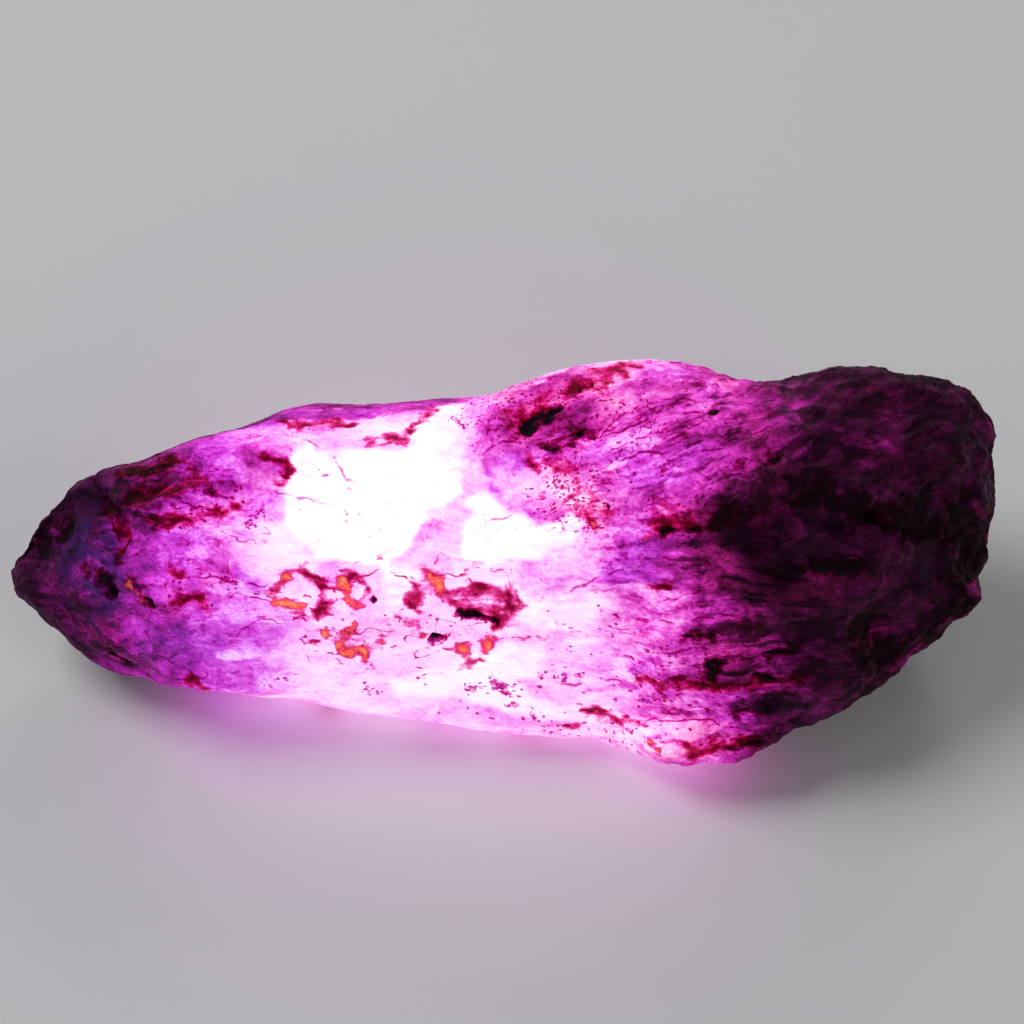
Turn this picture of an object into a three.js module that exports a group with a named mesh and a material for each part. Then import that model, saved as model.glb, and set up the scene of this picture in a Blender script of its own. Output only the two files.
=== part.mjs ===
// A rough sapphire: one long, broken crystal of pink to violet corundum. It lies on a flat
// parting face, with its broad face turned up and forward and its pointed end at -X.
// Millimetres, +Z up. The origin is at the middle of the stone's box, on the resting plane.
//
// The stone is shaped lying square: X runs along it, Y across its broad face and Z out of
// that face. It is leaned back about X at the end, and cut flat where it rests.

import * as THREE from 'three';
import { ImprovedNoise } from 'three/addons/math/ImprovedNoise.js';

const { lerp, smoothstep, degToRad } = THREE.MathUtils;

// Driving dimensions
const POINTED_END = -26.1; // X of the pointed end
const BLUNT_END = 26.0; // X of the blunt end
const LEAN_BACK = 38; // degrees that the broad face leans back from level
const REST_DEPTH = 7.0; // from the stone's long axis down to the plane that it rests on
const SECTION_POWER = 2.35; // 2 is an ellipse, and more is squarer
const EDGE_ROUNDING = 55; // higher is a sharper edge between two facets
const RINGS = 78; // cross-sections from end to end
const AROUND = 62; // points round each cross-section
const FACE_DETAIL = 0.28; // how much closer those points stand on the broad face

// Four outlines of the body, as [x, offset from the long axis]: its upper and lower edge
// seen square on to the broad face, then how far the broad face and the back stand out.
const UPPER_EDGE = [
  [-26.1, -0.8], [-25.8, 0.4], [-24.9, 1.7], [-23.9, 2.3], [-23.2, 3.8], [-22.3, 4.3],
  [-18.1, 5.6], [-13.4, 6.8], [-11.0, 7.9], [-9.1, 8.1], [-3.6, 8.3], [-0.2, 8.6],
  [3.0, 9.9], [5.6, 10.3], [9.2, 10.3], [12.5, 9.2], [14.4, 9.1], [17.9, 9.9],
  [19.4, 9.9], [20.8, 9.5], [22.2, 9.4], [23.8, 8.9], [24.7, 8.1], [25.4, 6.6],
  [25.8, 4.9], [26.0, 3.3],
];
const LOWER_EDGE = [
  [-26.1, -0.8], [-25.8, -1.7], [-24.5, -3.2], [-23.2, -4.1], [-21.9, -5.7], [-20.9, -6.2],
  [-17.1, -6.8], [-11.9, -7.5], [-6.8, -8.3], [-1.6, -9.1], [2.2, -9.6], [6.2, -10.0],
  [9.1, -10.4], [13.2, -10.0], [14.2, -9.3], [16.2, -8.8], [18.2, -7.7], [20.6, -6.2],
  [23.1, -4.2], [24.6, -2.7], [25.4, -0.7], [25.8, 1.4], [26.0, 3.3],
];
const FACE_OUT = [
  [-26.1, -1.4], [-25.6, -0.2], [-24.0, 1.9], [-21.0, 4.3], [-18.0, 5.6], [-12.0, 6.4],
  [-2.0, 6.9], [4.0, 7.6], [10.0, 8.0], [16.0, 7.9], [20.5, 6.9], [23.6, 5.0],
  [25.3, 2.6], [26.0, 0.4],
];
const BACK_OUT = [
  [-26.1, -1.4], [-25.6, -2.4], [-23.0, -4.3], [-18.0, -6.0], [-10.0, -7.1], [0.0, -7.9],
  [8.0, -8.6], [15.0, -8.7], [20.0, -7.7], [23.4, -5.8], [25.2, -3.0], [26.0, 0.4],
];

// Flat breaks and crystal faces. Each cuts the body with a plane through "at" that faces
// "facing", between the two X values of "span"; past them it runs out of the stone.
const FACETS = [
  { name: 'end break above', at: [-20.0, 0.4, 4.5], facing: [-0.66, 0.21, 0.72], span: [-27, -19] },
  { name: 'end break below', at: [-19.9, -3.2, 3.6], facing: [-0.52, -0.5, 0.69], span: [-27, -19] },
  { name: 'end undercut', at: [-21.5, -5.0, 0.3], facing: [-0.42, -0.85, 0.32], span: [-27, -18.5] },
  { name: 'end back', at: [-23.4, 1.8, -1.4], facing: [-0.62, 0.55, -0.56], span: [-27, -22] },
  { name: 'broad face', at: [-9.0, 0.0, 5.7], facing: [-0.06, 0.1, 0.99], span: [-24, 0] },
  { name: 'upper bevel', at: [-10.0, 7.25, 3.9], facing: [-0.1, 0.93, 0.36], span: [-17, -1] },
  { name: 'shoulder', at: [-17.5, 4.4, 3.6], facing: [-0.25, 0.66, 0.71], span: [-25, -13] },
  { name: 'lower flank', at: [-9.0, -4.4, 4.6], facing: [-0.03, -0.62, 0.78], span: [-22, 7] },
  { name: 'hump face', at: [6.0, 4.0, 7.1], facing: [-0.08, 0.3, 0.95], span: [-1, 13] },
  { name: 'hump crest', at: [6.5, 9.4, 3.4], facing: [-0.04, 0.88, 0.47], span: [-1, 13] },
  { name: 'ribbed face', at: [10.0, -5.2, 6.0], facing: [0.04, -0.5, 0.87], span: [-3, 22] },
  { name: 'lobe face', at: [18.8, 5.6, 6.0], facing: [0.2, 0.42, 0.88], span: [14, 27] },
  { name: 'blunt end', at: [24.7, 4.0, 2.5], facing: [0.86, 0.2, 0.46], span: [20, 27] },
  { name: 'lower end', at: [21.4, -4.0, 3.2], facing: [0.5, -0.48, 0.72], span: [16, 27] },
  { name: 'front undercut', at: [3.0, -9.0, -2.2], facing: [0.02, -0.93, -0.36], span: [-12, 16] },
  { name: 'back above', at: [-2.0, 6.6, -4.2], facing: [-0.04, 0.72, -0.69], span: [-14, 9] },
  { name: 'back of the point', at: [-16.5, 3.0, -4.6], facing: [-0.3, 0.4, -0.87], span: [-25, -9] },
  { name: 'back of the lobe', at: [17.5, 6.4, -5.2], facing: [0.22, 0.62, -0.75], span: [10, 27] },
  { name: 'back below', at: [2.0, -0.5, -7.5], facing: [0.03, 0.06, -1.0], span: [-20, 20] },
  { name: 'blunt end behind', at: [23.6, 0.6, -3.8], facing: [0.72, 0.05, -0.69], span: [18, 27] },
];

// Raised or sunken patches of the broad face: a closed outline in [x, y], how far its
// middle stands out, and how wide the slope down to its surroundings is.
const PATCHES = [
  {
    name: 'hump', height: 0.75, slope: 1.3,
    outline: [[-0.2, 9.6], [-1.0, 6.6], [-1.1, 5.1], [-0.6, 3.5], [0.3, 2.2], [1.7, 1.2],
      [4.1, 1.1], [5.6, -0.3], [9.3, -0.4], [13.6, 1.9], [15.2, 6.1], [13.4, 12.0], [4.0, 12.0]],
  },
  {
    name: 'shell-shaped break', height: -0.55, slope: 1.1,
    outline: [[-0.6, 4.4], [0.6, 5.4], [2.2, 5.2], [3.9, 3.4], [4.4, 1.7], [2.6, 1.3], [0.8, 2.2]],
  },
  {
    name: 'right lobe', height: 0.7, slope: 2.4,
    outline: [[14.0, 4.2], [15.6, 8.9], [19.4, 11.0], [24.4, 9.4], [26.4, 5.6], [26.0, 2.6],
      [20.8, 2.4], [16.0, 2.9]],
  },
  {
    name: 'lower lobe', height: 0.6, slope: 2.4,
    outline: [[6.0, -2.2], [12.0, -0.8], [19.0, -0.6], [25.6, -1.4], [21.0, -7.4], [14.0, -10.4],
      [7.0, -11.0]],
  },
  {
    name: 'foot ledge', height: 0.7, slope: 0.9,
    outline: [[5.6, -8.4], [10.2, -8.6], [14.6, -8.2], [14.8, -12.0], [6.0, -12.0]],
  },
  {
    name: 'upper shelf', height: 0.4, slope: 0.7,
    outline: [[-20.4, 5.2], [-18.6, 2.4], [-14.8, 3.0], [-11.6, 4.6], [-12.4, 8.0], [-19.0, 7.4]],
  },
  {
    name: 'lower shelf', height: 0.35, slope: 0.7,
    outline: [[-18.6, -3.4], [-15.0, -2.6], [-11.0, -3.6], [-9.8, -6.0], [-12.0, -8.6], [-18.4, -8.0]],
  },
];

// Grooves, cracks and ridges that run along a line of [x, y] points on the broad face.
const SEAMS = [
  {
    name: 'break above the point', height: -0.7, width: 0.55,
    line: [[-21.6, 4.9], [-21.2, 3.5], [-20.4, 2.0], [-19.8, 0.6]],
  },
  {
    name: 'ridge above the undercut', height: 0.35, width: 0.6,
    line: [[-23.0, -3.4], [-21.0, -4.4], [-19.6, -6.0]],
  },
  { name: 'black crack', height: -1.0, width: 0.5, line: [[0.9, 6.3], [1.9, 6.9], [2.7, 7.5]] },
  { name: 'second crack', height: -0.8, width: 0.45, line: [[1.9, 5.9], [3.3, 5.9], [4.7, 6.3]] },
  { name: 'parting, upper', height: -0.3, width: 0.45, line: [[4.7, 6.3], [8.4, 7.5], [12.4, 8.4]] },
  { name: 'parting, lower', height: -0.25, width: 0.45, line: [[3.4, 3.6], [8.0, 5.2], [13.6, 6.9]] },
  {
    name: 'valley', height: -0.9, width: 1.3,
    line: [[12.4, 1.0], [15.4, 1.9], [18.0, 1.6], [21.0, 2.1], [25.6, 0.8]],
  },
  { name: 'valley head', height: -0.5, width: 0.7, line: [[7.6, 0.6], [10.4, 1.2], [12.6, 1.2]] },
  { name: 'valley branch', height: -0.6, width: 0.8, line: [[18.0, 1.8], [20.4, 3.0], [23.4, 3.4]] },
  { name: 'lower groove', height: -0.45, width: 0.7, line: [[13.6, -0.6], [17.0, -0.4], [20.0, -0.6]] },
  { name: 'notch', height: -0.9, width: 0.6, line: [[22.8, -0.1], [24.6, -0.5], [26.2, -0.7]] },
  { name: 'ledge crack', height: -0.45, width: 0.45, line: [[3.8, -8.7], [7.0, -8.5], [10.0, -8.7]] },
  {
    name: 'pit seam', height: -0.4, width: 0.7,
    line: [[-12.0, -1.6], [-7.6, -2.2], [-3.0, -2.4], [0.0, -3.2]],
  },
  { name: 'bevel crack', height: -0.4, width: 0.4, line: [[-13.4, 6.7], [-10.6, 6.8], [-7.0, 7.4]] },
  {
    name: 'left crack', height: -0.5, width: 0.4,
    line: [[-18.4, 3.4], [-16.0, 3.9], [-14.4, 3.2], [-12.8, 3.3]],
  },
];

// Pits and knobs on the broad face: a place [x, y], a radius and a height.
const PITS = [
  { name: 'end hollow', at: [-20.4, -1.9], radius: 0.9, height: -0.8 },
  { name: 'end hollow, long', at: [-18.8, -2.5], radius: 1.0, height: -0.6 },
  { name: 'end knob', at: [-21.4, 0.4], radius: 1.3, height: 0.5 },
  { name: 'end hollow, upper', at: [-22.0, 2.6], radius: 0.9, height: -0.45 },
  { name: 'ring pit', at: [-10.7, -1.7], radius: 1.0, height: -0.55 },
  { name: 'small ring pit', at: [-7.9, -1.9], radius: 0.8, height: -0.45 },
  { name: 'forked pit', at: [-3.9, -1.2], radius: 0.8, height: -0.5 },
  { name: 'long pit', at: [-1.2, -2.9], radius: 1.1, height: -0.75 },
  { name: 'round pit', at: [-1.6, -4.6], radius: 1.0, height: -0.55 },
  { name: 'black pit', at: [-3.5, -4.2], radius: 0.6, height: -0.6 },
  { name: 'speck pit', at: [13.8, 4.9], radius: 0.7, height: -0.55 },
  { name: 'six-sided pit', at: [19.3, -3.6], radius: 1.0, height: -0.6 },
  { name: 'three-cornered pit', at: [10.8, -5.6], radius: 0.8, height: -0.55 },
  { name: 'edge spur', at: [-17.3, 6.4], radius: 0.7, height: 0.6 },
];

const noise = new ImprovedNoise();

// The height at x of an outline given as [x, height] points, with straight runs between.
function along(outline, x) {
  const last = outline.length - 1;
  const next = outline.findIndex(([at]) => at >= x);
  if (next <= 0) return next === 0 ? outline[0][1] : outline[last][1];
  const [x0, h0] = outline[next - 1];
  const [x1, h1] = outline[next];
  return lerp(h0, h1, (x - x0) / (x1 - x0));
}

// The least of several values, with the corner between the two lowest rounded off.
function softLeast(values, sharpness) {
  const least = Math.min(...values);
  const sum = values.reduce((total, value) => total + Math.exp(-sharpness * (value - least)), 0);
  return least - Math.log(sum) / sharpness;
}

// Distance from (x, y) to the straight stretch from a to b.
function toStretch(x, y, a, b) {
  const [dx, dy] = [b[0] - a[0], b[1] - a[1]];
  const share = ((x - a[0]) * dx + (y - a[1]) * dy) / (dx * dx + dy * dy);
  const t = Math.min(1, Math.max(0, share));
  return Math.hypot(x - a[0] - t * dx, y - a[1] - t * dy);
}

function toLine(x, y, line) {
  return Math.min(...line.slice(1).map((point, i) => toStretch(x, y, line[i], point)));
}

// Distance from (x, y) to a closed outline, above 0 inside it.
function inside(x, y, outline) {
  let within = false;
  outline.forEach((a, i) => {
    const b = outline[(i + 1) % outline.length];
    const crosses = a[1] > y !== b[1] > y;
    if (crosses && x < lerp(a[0], b[0], (y - a[1]) / (b[1] - a[1]))) within = !within;
  });
  const distance = toLine(x, y, [...outline, outline[0]]);
  return within ? distance : -distance;
}

// A fixed number from 0 to 1 for each cell of a grid.
function scatter(i, j, k, turn) {
  const wave = Math.sin(i * 127.1 + j * 311.7 + k * 74.7 + turn * 53.3) * 43758.5453;
  return wave - Math.floor(wave);
}

// Square of the distance from a place to the nearest of a scatter of points, one in each
// unit cell, each set back by a share of its own.
function nearestSquared(x, y, z, setBack) {
  const [i0, j0, k0] = [Math.floor(x), Math.floor(y), Math.floor(z)];
  let nearest = 9;
  for (let i = i0 - 1; i <= i0 + 1; i += 1)
    for (let j = j0 - 1; j <= j0 + 1; j += 1)
      for (let k = k0 - 1; k <= k0 + 1; k += 1) {
        const dx = i + scatter(i, j, k, 0) - x;
        const dy = j + scatter(i, j, k, 1) - y;
        const dz = k + scatter(i, j, k, 2) - z;
        const away = dx * dx + dy * dy + dz * dz + setBack * scatter(i, j, k, 3);
        nearest = Math.min(nearest, away);
      }
  return nearest;
}

// Rounded lumps with sharp creases between them, as in coarse fibrous stone.
function lumps(x, y, z) {
  return 0.5 - Math.sqrt(nearestSquared(x, y, z, 0));
}

// Flat chips with sharp ridges between them: on a rounded surface, the rise away from the
// middle of each cell flattens it.
function chips(x, y, z) {
  return nearestSquared(x, y, z, 0.35) - 0.45;
}

// How far the body reaches from its axis at x, in the direction of angle, as a share of the
// plain section: 1 on the outlines, and less where a facet cuts in.
function reachOf(x, angle, section) {
  const [across, out] = [Math.cos(angle), Math.sin(angle)];
  const rounded = Math.abs(across) ** SECTION_POWER + Math.abs(out) ** SECTION_POWER;
  const plain = rounded ** (-1 / SECTION_POWER);
  const ray = [across * section.halfWidth, out * section.halfDepth];
  const limits = FACETS.map(({ at, facing, span }) => {
    const away = facing[1] * ray[0] + facing[2] * ray[1];
    if (away <= 0) return 9;
    const past = Math.max(0, span[0] - x, x - span[1]);
    const toPlane =
      facing[0] * (at[0] - x) + facing[1] * (at[1] - section.y) + facing[2] * (at[2] - section.z);
    return Math.max(0.05, (toPlane + 0.7 * past) / away);
  });
  return softLeast([plain, ...limits], EDGE_ROUNDING);
}

function sectionAt(x) {
  const [top, bottom] = [along(UPPER_EDGE, x), along(LOWER_EDGE, x)];
  const [face, back] = [along(FACE_OUT, x), along(BACK_OUT, x)];
  return {
    y: (top + bottom) / 2,
    z: (face + back) / 2,
    halfWidth: (top - bottom) / 2,
    halfDepth: (face - back) / 2,
  };
}

// The relief of the broad face at a place: its patches, seams and pits together, with
// their lines made a little uneven.
function faceRelief(placeX, placeY) {
  const x = placeX + 0.9 * noise.noise(placeX / 2.6, placeY / 2.6, 7.5);
  const y = placeY + 0.9 * noise.noise(placeX / 2.6, placeY / 2.6, 19.5);
  let relief = 0;
  for (const { outline, height, slope } of PATCHES)
    relief += height * smoothstep(inside(x, y, outline), -slope / 2, slope / 2);
  for (const { line, width, height } of SEAMS)
    relief += height * Math.exp(-((toLine(x, y, line) / width) ** 2));
  for (const { at, radius, height } of PITS)
    relief += height * Math.exp(-((Math.hypot(x - at[0], y - at[1]) / radius) ** 2));
  return relief;
}

// Flat treads with short steep steps between them, one for each whole number of rise.
function steps(rise) {
  const tread = Math.floor(rise);
  return tread + smoothstep(rise - tread, 0.7, 1) - rise * 0.5;
}

// The grain of the broken stone all round: long ribs on the blunt half, blocky lumps on
// the pointed end, and parting steps on the back and the underside.
function grain(x, y, z) {
  const bluntHalf = smoothstep(x, 3, 12);
  const pointedEnd = 1 - smoothstep(x, -20, -11);
  const back = smoothstep(-z, 0.5, 4);
  const ribs = lumps(x / 7, y / 1.7 - x / 26, z / 1.9);
  const flats = chips(x / 7, y / 4.4 + x / 40, z / 4.4);
  const smallFlats = chips(x / 3.3, y / 2.6, z / 2.7);
  const waves = noise.noise(x / 6, y / 5, z / 5);
  const parting = steps(3.2 * noise.noise(x / 11 + 5, y / 7 + z / 19, z / 8 - x / 31));
  return (
    0.8 * bluntHalf * ribs +
    (0.6 + 0.7 * back) * flats +
    (0.2 + 0.75 * pointedEnd + 0.15 * back) * smallFlats +
    0.2 * waves +
    (0.1 + 0.5 * back) * parting -
    0.1
  );
}

// One closed skin: a point at each end and rings of points between them.
function bodyGeometry() {
  const places = [];
  for (let ring = 1; ring < RINGS; ring += 1) {
    const share = ring / RINGS;
    const eased = (1 - Math.cos(Math.PI * share)) / 2;
    const x = lerp(POINTED_END, BLUNT_END, lerp(share, eased, 0.75));
    const section = sectionAt(x);
    for (let step = 0; step < AROUND; step += 1) {
      const turn = (2 * Math.PI * (step + (ring % 2) / 2)) / AROUND;
      const angle = turn + FACE_DETAIL * Math.cos(turn);
      const reach = reachOf(x, angle, section);
      places.push(
        x,
        section.y + reach * section.halfWidth * Math.cos(angle),
        section.z + reach * section.halfDepth * Math.sin(angle),
      );
    }
  }
  const [tipA, tipB] = [sectionAt(POINTED_END), sectionAt(BLUNT_END)];
  const pointed = places.length / 3;
  places.push(POINTED_END, tipA.y, tipA.z, BLUNT_END, tipB.y, tipB.z);
  const blunt = pointed + 1;

  const faces = [];
  const lastRing = RINGS - 2;
  for (let step = 0; step < AROUND; step += 1) {
    const next = (step + 1) % AROUND;
    faces.push(pointed, next, step);
    faces.push(blunt, lastRing * AROUND + step, lastRing * AROUND + next);
    for (let ring = 0; ring < lastRing; ring += 1) {
      const [a, b] = [ring * AROUND + step, ring * AROUND + next];
      const [c, d] = [a + AROUND, b + AROUND];
      if (ring % 2 === 0) faces.push(a, b, d, a, d, c);
      else faces.push(a, b, c, b, d, c);
    }
  }
  const geometry = new THREE.BufferGeometry();
  geometry.setAttribute('position', new THREE.Float32BufferAttribute(places, 3));
  geometry.setIndex(faces);
  return geometry;
}

// Moves each point of the skin out or in along its normal by the relief that is there.
function carve(geometry) {
  geometry.computeVertexNormals();
  const place = geometry.getAttribute('position');
  const normal = geometry.getAttribute('normal');
  const ends = [POINTED_END, BLUNT_END].map((x) => [x, sectionAt(x).y, sectionAt(x).z]);
  for (let i = 0; i < place.count; i += 1) {
    const [x, y, z] = [place.getX(i), place.getY(i), place.getZ(i)];
    const [nx, ny, nz] = [normal.getX(i), normal.getY(i), normal.getZ(i)];
    const onFace = smoothstep(nz, 0.05, 0.5);
    const fromEnd = Math.min(...ends.map((end) => Math.hypot(x - end[0], y - end[1], z - end[2])));
    const full = 0.15 + 0.85 * smoothstep(fromEnd, 0.3, 3);
    const edgeOn = 0.55 + 0.45 * smoothstep(Math.abs(nz), 0.1, 0.5);
    const out = full * (onFace * faceRelief(x, y) + edgeOn * grain(x, y, z));
    place.setXYZ(i, x + nx * out, y + ny * out, z + nz * out);
  }
  return geometry;
}

// Leans the stone back, cuts it flat on its resting plane and stands that plane at z = 0.
function layDown(geometry) {
  geometry.rotateX(degToRad(LEAN_BACK));
  const place = geometry.getAttribute('position');
  for (let i = 0; i < place.count; i += 1)
    if (place.getZ(i) < -REST_DEPTH) {
      const pull = REST_DEPTH / -place.getZ(i);
      place.setXYZ(i, place.getX(i), place.getY(i) * pull, -REST_DEPTH);
    }
  geometry.computeBoundingBox();
  const { min, max } = geometry.boundingBox;
  geometry.translate(-(min.x + max.x) / 2, -(min.y + max.y) / 2, -min.z);
  geometry.computeVertexNormals();
  return geometry;
}

function sapphireStone() {
  const corundum = new THREE.MeshStandardMaterial({ color: 0xb04bb4, roughness: 0.45, metalness: 0 });
  const stone = new THREE.Mesh(layDown(carve(bodyGeometry())), corundum);
  stone.name = 'sapphire';
  return stone;
}

const part = new THREE.Group();
part.add(sapphireStone());

export default part;
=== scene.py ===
# %% [markdown]
# # A rough sapphire
#
# The real thing is one piece of corundum, about 52 mm long: a crystal that has been broken and
# worn, pointed at one end and blunt at the other. It is cloudy, so light soaks into it, and its
# colour runs from nearly white in the middle through pink and magenta to almost black. The
# nearly white middle is painted light coming through the stone, and the dark ends are partly
# painted shade.
# The solid that this lesson starts from already has the stone's size, flat breaks and lumps.
# What is left to make is the fine surface, and the colour that changes from place to place.

# %% Load the solid
import math
import bpy
import numpy as np
from mathutils import Euler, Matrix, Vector, noise


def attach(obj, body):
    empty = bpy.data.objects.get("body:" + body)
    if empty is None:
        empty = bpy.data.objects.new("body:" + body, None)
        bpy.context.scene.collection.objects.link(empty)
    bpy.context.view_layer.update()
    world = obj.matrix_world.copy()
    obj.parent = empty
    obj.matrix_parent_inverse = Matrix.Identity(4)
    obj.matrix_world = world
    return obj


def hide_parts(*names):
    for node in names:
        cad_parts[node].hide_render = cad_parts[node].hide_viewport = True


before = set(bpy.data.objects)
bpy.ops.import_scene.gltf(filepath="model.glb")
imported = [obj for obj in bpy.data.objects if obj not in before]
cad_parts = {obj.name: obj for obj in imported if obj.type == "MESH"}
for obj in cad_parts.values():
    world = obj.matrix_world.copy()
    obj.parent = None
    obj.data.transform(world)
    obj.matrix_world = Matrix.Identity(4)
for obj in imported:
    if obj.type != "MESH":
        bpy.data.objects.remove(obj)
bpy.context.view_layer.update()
MM = 0.001


def select_only(thing):
    bpy.ops.object.select_all(action="DESELECT")
    thing.select_set(True)
    bpy.context.view_layer.objects.active = thing


# %% [markdown]
# ## Where the broad face is
#
# The stone leans back on its flat break, so its broad face looks up and forward. Everything that
# is seen on that face is easier to place in the face's own directions: u along the stone, v
# across the face and w straight out of it, in millimetres from the stone's long axis.
# A turn about X and a shift take a point of the mesh there. A normal needs only the turn.

# %% From the stone's frame to its broad face
LEAN_BACK = math.radians(38)
AXIS_AT = Vector((0.07, 0.14, 7.0))  # a point of the long axis, mm
TO_FACE = Euler((-LEAN_BACK, 0, 0)).to_matrix()
FACE_SHIFT = -(TO_FACE @ AXIS_AT)


def face_places(mesh):
    places = np.empty(len(mesh.vertices) * 3)
    mesh.vertices.foreach_get("co", places)
    return (places.reshape(-1, 3) / MM) @ np.array(TO_FACE).T + np.array(FACE_SHIFT)


def face_normals(mesh):
    normals = np.empty(len(mesh.vertices) * 3, np.float32)
    mesh.vertex_normals.foreach_get("vector", normals)
    return normals.reshape(-1, 3) @ np.array(TO_FACE).T


print("long axis, from the face's origin:", [round(value, 2) for value in FACE_SHIFT])

# %% [markdown]
# ## The camera
#
# It looks down at 52 degrees, square on to the broad face, with a long lens so that the near
# and far edges keep nearly the same scale.

# %% Camera
LENS, SENSOR = 135.0, 36.0
FRAME_SIDE = 1024  # pixels
MM_PER_PIXEL = 0.0528
ELEVATION = math.radians(52)
AIM_RIGHT, AIM_UP = 0.48, 2.32  # mm, from the long axis to the middle of the picture
toward = Vector((0, -math.cos(ELEVATION), math.sin(ELEVATION)))
upward = Vector((0, math.sin(ELEVATION), math.cos(ELEVATION)))
aim = AXIS_AT + Vector((AIM_RIGHT, 0, 0)) + upward * AIM_UP
distance = FRAME_SIDE * MM_PER_PIXEL * LENS / SENSOR
bpy.ops.object.camera_add(location=(aim + toward * distance) * MM)
camera = bpy.context.object
camera.rotation_euler = toward.to_track_quat("Z", "Y").to_euler()
camera.data.lens, camera.data.sensor_width = LENS, SENSOR
camera.data.clip_start, camera.data.clip_end = 0.01, 20
bpy.context.scene.camera = camera
print("camera distance, mm:", round(distance))

# %% [markdown]
# ## Floor and light
#
# A pale plain floor that curves up far away, and three soft area lights: the strongest high at
# the left, a weaker one in front, and one behind so that the top edge shows. They are kept
# dim, because the stone has its own pale, lit-through middle and it has to stand out.
# The floor starts as a circle whose edge is extruded in rising, widening rings.

# %% A floor with a curved-up rim
bpy.ops.object.select_all(action="DESELECT")
FLOOR_RADIUS, FLOOR_GAP = 0.5, 0.00002
RINGS = ((0.03, 1.25), (0.09, 1.15), (0.2, 1.08), (0.45, 1.03))  # rise, spread
bpy.ops.mesh.primitive_circle_add(
    vertices=96, radius=FLOOR_RADIUS, fill_type="NGON", location=(0, 0, -FLOOR_GAP),
)
floor = bpy.context.object
floor.name = "floor"
bpy.ops.object.mode_set(mode="EDIT")
bpy.ops.mesh.select_all(action="SELECT")
bpy.ops.mesh.region_to_loop()
for rise, spread in RINGS:
    bpy.ops.mesh.extrude_region_move(TRANSFORM_OT_translate={"value": (0, 0, rise)})
    bpy.ops.transform.resize(value=(spread, spread, 1))
bpy.ops.object.mode_set(mode="OBJECT")
bpy.ops.object.shade_smooth_by_angle(angle=math.radians(60))
bpy.ops.object.transform_apply(location=True, rotation=True, scale=True)
matt = bpy.data.materials.new("floor")
matt.use_nodes = True
floor_inputs = matt.node_tree.nodes["Principled BSDF"].inputs
floor_inputs["Base Color"].default_value = (0.86, 0.86, 0.87, 1)
floor_inputs["Roughness"].default_value = 0.9
floor.data.materials.append(matt)
print("floor points:", len(floor.data.vertices))


# %% Soft lights and a dim room
def soft_light(place, size, watts):
    """A round area light that points at the origin."""
    bpy.ops.object.light_add(type="AREA", location=Vector(place))
    light = bpy.context.object
    light.rotation_euler = Vector(place).to_track_quat("Z", "Y").to_euler()
    light.data.shape, light.data.size = "DISK", size
    light.data.energy = watts


soft_light((-0.30, 0.10, 0.45), size=0.30, watts=1.1)
soft_light((0.35, -0.35, 0.30), size=0.35, watts=0.35)
soft_light((0.10, 0.45, 0.22), size=0.25, watts=0.3)
room = bpy.data.worlds.new("room")
room.use_nodes = True
room.node_tree.nodes["Background"].inputs["Color"].default_value = (0.92, 0.93, 1.0, 1)
room.node_tree.nodes["Background"].inputs["Strength"].default_value = 0.12
bpy.context.scene.world = room
bpy.context.scene.view_settings.view_transform = "Standard"

# %% [markdown]
# ## The body of the stone
#
# The solid's mesh has triangles about 0.7 mm across. A copy of it is merged, its triangles are
# paired into four-sided faces, and two levels of Subdivision Surface give faces of 0.17 mm.
# That would also melt the breaks, so edges that meet at a clear angle get a crease first.

# %% A copy of the solid, paired into quads and subdivided
MERGE_WITHIN = 0.002 * MM
PAIR_ACROSS, PAIR_SKEW = math.radians(50), math.radians(60)
CLEAR_EDGE, CREASE = math.radians(28), 0.55
LEVELS = 2
stone = bpy.data.objects.new("sapphire_stone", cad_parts["sapphire"].data.copy())
bpy.context.scene.collection.objects.link(stone)
select_only(stone)
bpy.ops.object.mode_set(mode="EDIT")
bpy.ops.mesh.select_all(action="SELECT")
bpy.ops.mesh.remove_doubles(threshold=MERGE_WITHIN)
bpy.ops.mesh.tris_convert_to_quads(face_threshold=PAIR_ACROSS, shape_threshold=PAIR_SKEW)
bpy.ops.mesh.normals_make_consistent(inside=False)
bpy.ops.mesh.select_mode(type="EDGE")
bpy.ops.mesh.select_all(action="DESELECT")
bpy.ops.mesh.edges_select_sharp(sharpness=CLEAR_EDGE)
bpy.ops.transform.edge_crease(value=CREASE)
bpy.ops.object.mode_set(mode="OBJECT")
bpy.ops.object.modifier_add(type="SUBSURF")
stone.modifiers[-1].levels = stone.modifiers[-1].render_levels = LEVELS
bpy.ops.object.modifier_apply(modifier=stone.modifiers[-1].name)
print("stone faces:", len(stone.data.polygons))

# %% [markdown]
# ## Measuring across the face
#
# Cracks, pits and stains are laid out as short lines of points on the broad face. What the mesh
# needs from a line is how far each of its points is from it, so one helper measures that, for
# all points at once. A stroke is about 1 on its line and falls to 0 at its half-width, then
# below 0. A blot does the same round a point, and an outline is 1 inside and 0 outside.
# Nothing on a broken stone has a smooth outline, so every point is first pushed a little
# sideways by noise, and each line comes out ragged.

# %% Points, noise and soft steps
places = face_places(stone.data)
normals = face_normals(stone.data)
u, v, w = places.T


def soft_step(value, low, high):
    share = np.clip((value - low) / (high - low), 0, 1)
    return share * share * (3 - 2 * share)


def push(size, seed):
    """Up to about 1 in each direction, changing over size millimetres."""
    # Three plain noises, far apart: the noise that gives a vector isn't the same in each run.
    parts = [
        [noise.noise(spot) for spot in (places / size + seed + apart).tolist()]
        for apart in (0.0, 31.4, 67.2)
    ]
    return np.array(parts).T


def clouds_of(spots, octaves):
    return np.array([noise.fractal(spot, 0.9, 2.1, octaves) for spot in spots.tolist()])


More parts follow.
